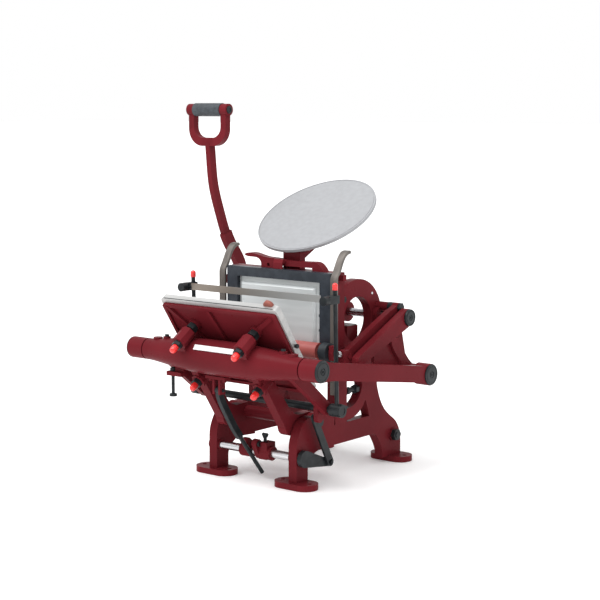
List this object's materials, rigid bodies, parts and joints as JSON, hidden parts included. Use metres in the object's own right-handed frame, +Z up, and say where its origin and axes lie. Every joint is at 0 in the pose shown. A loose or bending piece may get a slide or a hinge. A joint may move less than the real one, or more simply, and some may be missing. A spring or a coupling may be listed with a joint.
{
  "type": "tabletop printing press",
  "caption": "Tabletop platen printing press with cast side frames, swinging platen, side crank rods, hand lever, ink disc and form roller.",
  "frame": {"origin": "on the ground, at the middle of the rectangle of foot holes", "axes": "+Z up, +X to the operator's right, the operator stands on the -Y side"},
  "size_m": [0.656, 0.6033, 0.8895],
  "materials": {
    "maroon_paint": "glossy dark maroon enamel on cast iron",
    "bright_steel": "ground bright steel",
    "rail_steel": "bare grey-brown steel strip",
    "black_steel": "satin black oxide",
    "chase_iron": "satin blue-black iron",
    "light_plate": "pale milled plate",
    "platen_steel": "ground pale steel",
    "disc_plate": "matt turned disc",
    "roller_rubber": "salmon composition rubber",
    "truck_rubber": "black rubber truck",
    "grip_rubber": "black foam grip",
    "red_cap": "bright red plastic cap",
    "white_plate": "blank white enamel plate"
  },
  "bodies": {
    "frame": {"right_side_frame": "maroon_paint", "left_side_frame": "maroon_paint", "bed": "maroon_paint", "chase": "chase_iron", "chase_plate": "light_plate", "rails": "rail_steel", "disc_bracket": "maroon_paint", "tie_rod": "black_steel", "tie_rod_nuts": "black_steel", "rocker_shaft": "black_steel", "cross_beam": "maroon_paint", "stop_screws": "black_steel", "arm_studs": "black_steel", "frame_bolts": "black_steel"},
    "chase_clamp": {"chase_clamp": "maroon_paint"},
    "ink_disc": {"ink_disc": "disc_plate"},
    "drive": {"main_shaft": "bright_steel", "shaft_collar": "maroon_paint", "left_crank": "maroon_paint", "right_crank": "maroon_paint", "crank_caps": "black_steel", "hand_lever": "maroon_paint", "handle_grip": "grip_rubber"},
    "left_side_rod": {"left_rod": "maroon_paint", "left_rod_cap": "black_steel"},
    "right_side_rod": {"right_rod": "maroon_paint", "right_rod_caps": "black_steel"},
    "rocker": {"yoke": "maroon_paint", "platen": "maroon_paint", "platen_plate": "platen_steel", "platen_nuts": "black_steel", "tee_bracket": "maroon_paint", "nameplate": "white_plate", "side_bolt": "black_steel"},
    "left_upper_screw": {"left_upper_screw": "black_steel"},
    "left_lower_screw": {"left_lower_screw": "black_steel"},
    "right_upper_screw": {"right_upper_screw": "black_steel"},
    "right_lower_screw": {"right_lower_screw": "black_steel"},
    "work_lever": {"work_lever": "black_steel"},
    "gripper": {"gripper_shaft": "black_steel", "gripper_bars": "black_steel", "gripper_clamps": "black_steel", "gripper_strip": "rail_steel", "gripper_lever": "maroon_paint", "gripper_tips": "red_cap"},
    "grip_link": {"grip_link": "black_steel"},
    "cross_rod": {"cross_rod": "bright_steel", "cross_lever": "black_steel"},
    "guide_block": {"guide_block": "maroon_paint"},
    "thumb_screw": {"thumb_screw": "black_steel"},
    "roller_arms": {"right_roller_arm": "maroon_paint", "left_roller_arm": "maroon_paint"},
    "roller_carriage": {"roller_hooks": "maroon_paint"},
    "roller": {"roller_core": "bright_steel", "roller_rubber": "roller_rubber", "roller_trucks": "truck_rubber"}
  },
  "joints": [
    {"name": "press_lever_turn", "type": "hinge", "parent": "frame", "child": "drive", "pos_m": [0, 0.113, 0.3756], "axis": [1, 0, 0], "range_deg": [0, 83.44]},
    {"name": "right_rod_pivot", "type": "hinge", "parent": "drive", "child": "right_side_rod", "pos_m": [0.268, 0.1224, 0.2412], "axis": [1, 0, 0], "range_deg": [-76.4, 0]},
    {"name": "left_rod_pivot", "type": "hinge", "parent": "drive", "child": "left_side_rod", "pos_m": [-0.268, 0.1224, 0.2412], "axis": [1, 0, 0], "range_deg": [-76.4, 0]},
    {"name": "rocker_pivot", "type": "hinge", "parent": "frame", "child": "rocker", "pos_m": [0, -0.1223, 0.1454], "axis": [1, 0, 0], "range_deg": [-34, 0]},
    {"name": "work_lever_pivot", "type": "hinge", "parent": "rocker", "child": "work_lever", "pos_m": [-0.02, -0.2985, 0.229], "axis": [1, 0, 0], "range_deg": [0, 6.3]},
    {"name": "gripper_pivot", "type": "hinge", "parent": "rocker", "child": "gripper", "pos_m": [0, -0.16, 0.189], "axis": [1, 0, 0], "range_deg": [0, 23.4]},
    {"name": "grip_link_pivot", "type": "hinge", "parent": "gripper", "child": "grip_link", "pos_m": [0.155, -0.165, 0.165], "axis": [1, 0, 0], "range_deg": [-1.5, 0]},
    {"name": "cross_rod_turn", "type": "hinge", "parent": "frame", "child": "cross_rod", "pos_m": [0, -0.19, 0.07], "axis": [1, 0, 0], "range_deg": [0, 3.4]},
    {"name": "guide_block_turn", "type": "hinge", "parent": "cross_rod", "child": "guide_block", "pos_m": [0, -0.19, 0.07], "axis": [1, 0, 0], "range_deg": [-31.2, 0]},
    {"name": "thumb_screw_turn", "type": "hinge", "parent": "guide_block", "child": "thumb_screw", "pos_m": [0.03, -0.192, 0.105], "axis": [0, 0, 1], "range_deg": [-180, 180]},
    {"name": "roller_arm_turn", "type": "hinge", "parent": "frame", "child": "roller_arms", "pos_m": [0, 0.113, 0.398], "axis": [1, 0, 0], "range_deg": [-95.2, 0]},
    {"name": "carriage_slide", "type": "slide", "parent": "roller_arms", "child": "roller_carriage", "axis": [0, -0.961, 0.2766], "range_m": [0, 0.012], "stiffness_N_per_m": 2500},
    {"name": "roller_spin", "type": "hinge", "parent": "roller_carriage", "child": "roller", "pos_m": [0, -0.13727, 0.31716], "axis": [1, 0, 0], "continuous": true},
    {"name": "ink_disc_turn", "type": "hinge", "parent": "frame", "child": "ink_disc", "pos_m": [0, 0.0415, 0.6204], "axis": [0, -0.521, 0.8536], "continuous": true},
    {"name": "chase_clamp_hinge", "type": "hinge", "parent": "frame", "child": "chase_clamp", "pos_m": [-0.006, -0.094, 0.5145], "axis": [1, 0, 0], "range_deg": [-40, 0], "stiffness_Nm_per_rad": 1.5},
    {"name": "left_upper_screw_turn", "type": "hinge", "parent": "rocker", "child": "left_upper_screw", "pos_m": [-0.0935, -0.33718, 0.34993], "axis": [0, 0.83, 0.5577], "range_deg": [-180, 180]},
    {"name": "left_lower_screw_turn", "type": "hinge", "parent": "rocker", "child": "left_lower_screw", "pos_m": [-0.0935, -0.27136, 0.25199], "axis": [0, 0.83, 0.5577], "range_deg": [-180, 180]},
    {"name": "right_upper_screw_turn", "type": "hinge", "parent": "rocker", "child": "right_upper_screw", "pos_m": [0.0935, -0.33718, 0.34993], "axis": [0, 0.83, 0.5577], "range_deg": [-180, 180]},
    {"name": "right_lower_screw_turn", "type": "hinge", "parent": "rocker", "child": "right_lower_screw", "pos_m": [0.0935, -0.27136, 0.25199], "axis": [0, 0.83, 0.5577], "range_deg": [-180, 180]}
  ],
  "couplings": [
    {"joint": "right_rod_pivot", "follows": "press_lever_turn", "ratio": -0.91391},
    {"joint": "left_rod_pivot", "follows": "press_lever_turn", "ratio": -0.91391},
    {"joint": "rocker_pivot", "follows": "press_lever_turn", "ratio": -0.40629},
    {"joint": "work_lever_pivot", "follows": "press_lever_turn", "ratio": 0.073145},
    {"joint": "gripper_pivot", "follows": "press_lever_turn", "ratio": 0.27771},
    {"joint": "grip_link_pivot", "follows": "press_lever_turn", "ratio": -0.015965},
    {"joint": "cross_rod_turn", "follows": "press_lever_turn", "ratio": 0.037772},
    {"joint": "guide_block_turn", "follows": "press_lever_turn", "ratio": -0.37092},
    {"joint": "roller_arm_turn", "follows": "press_lever_turn", "ratio": -1.1386}
  ]
}
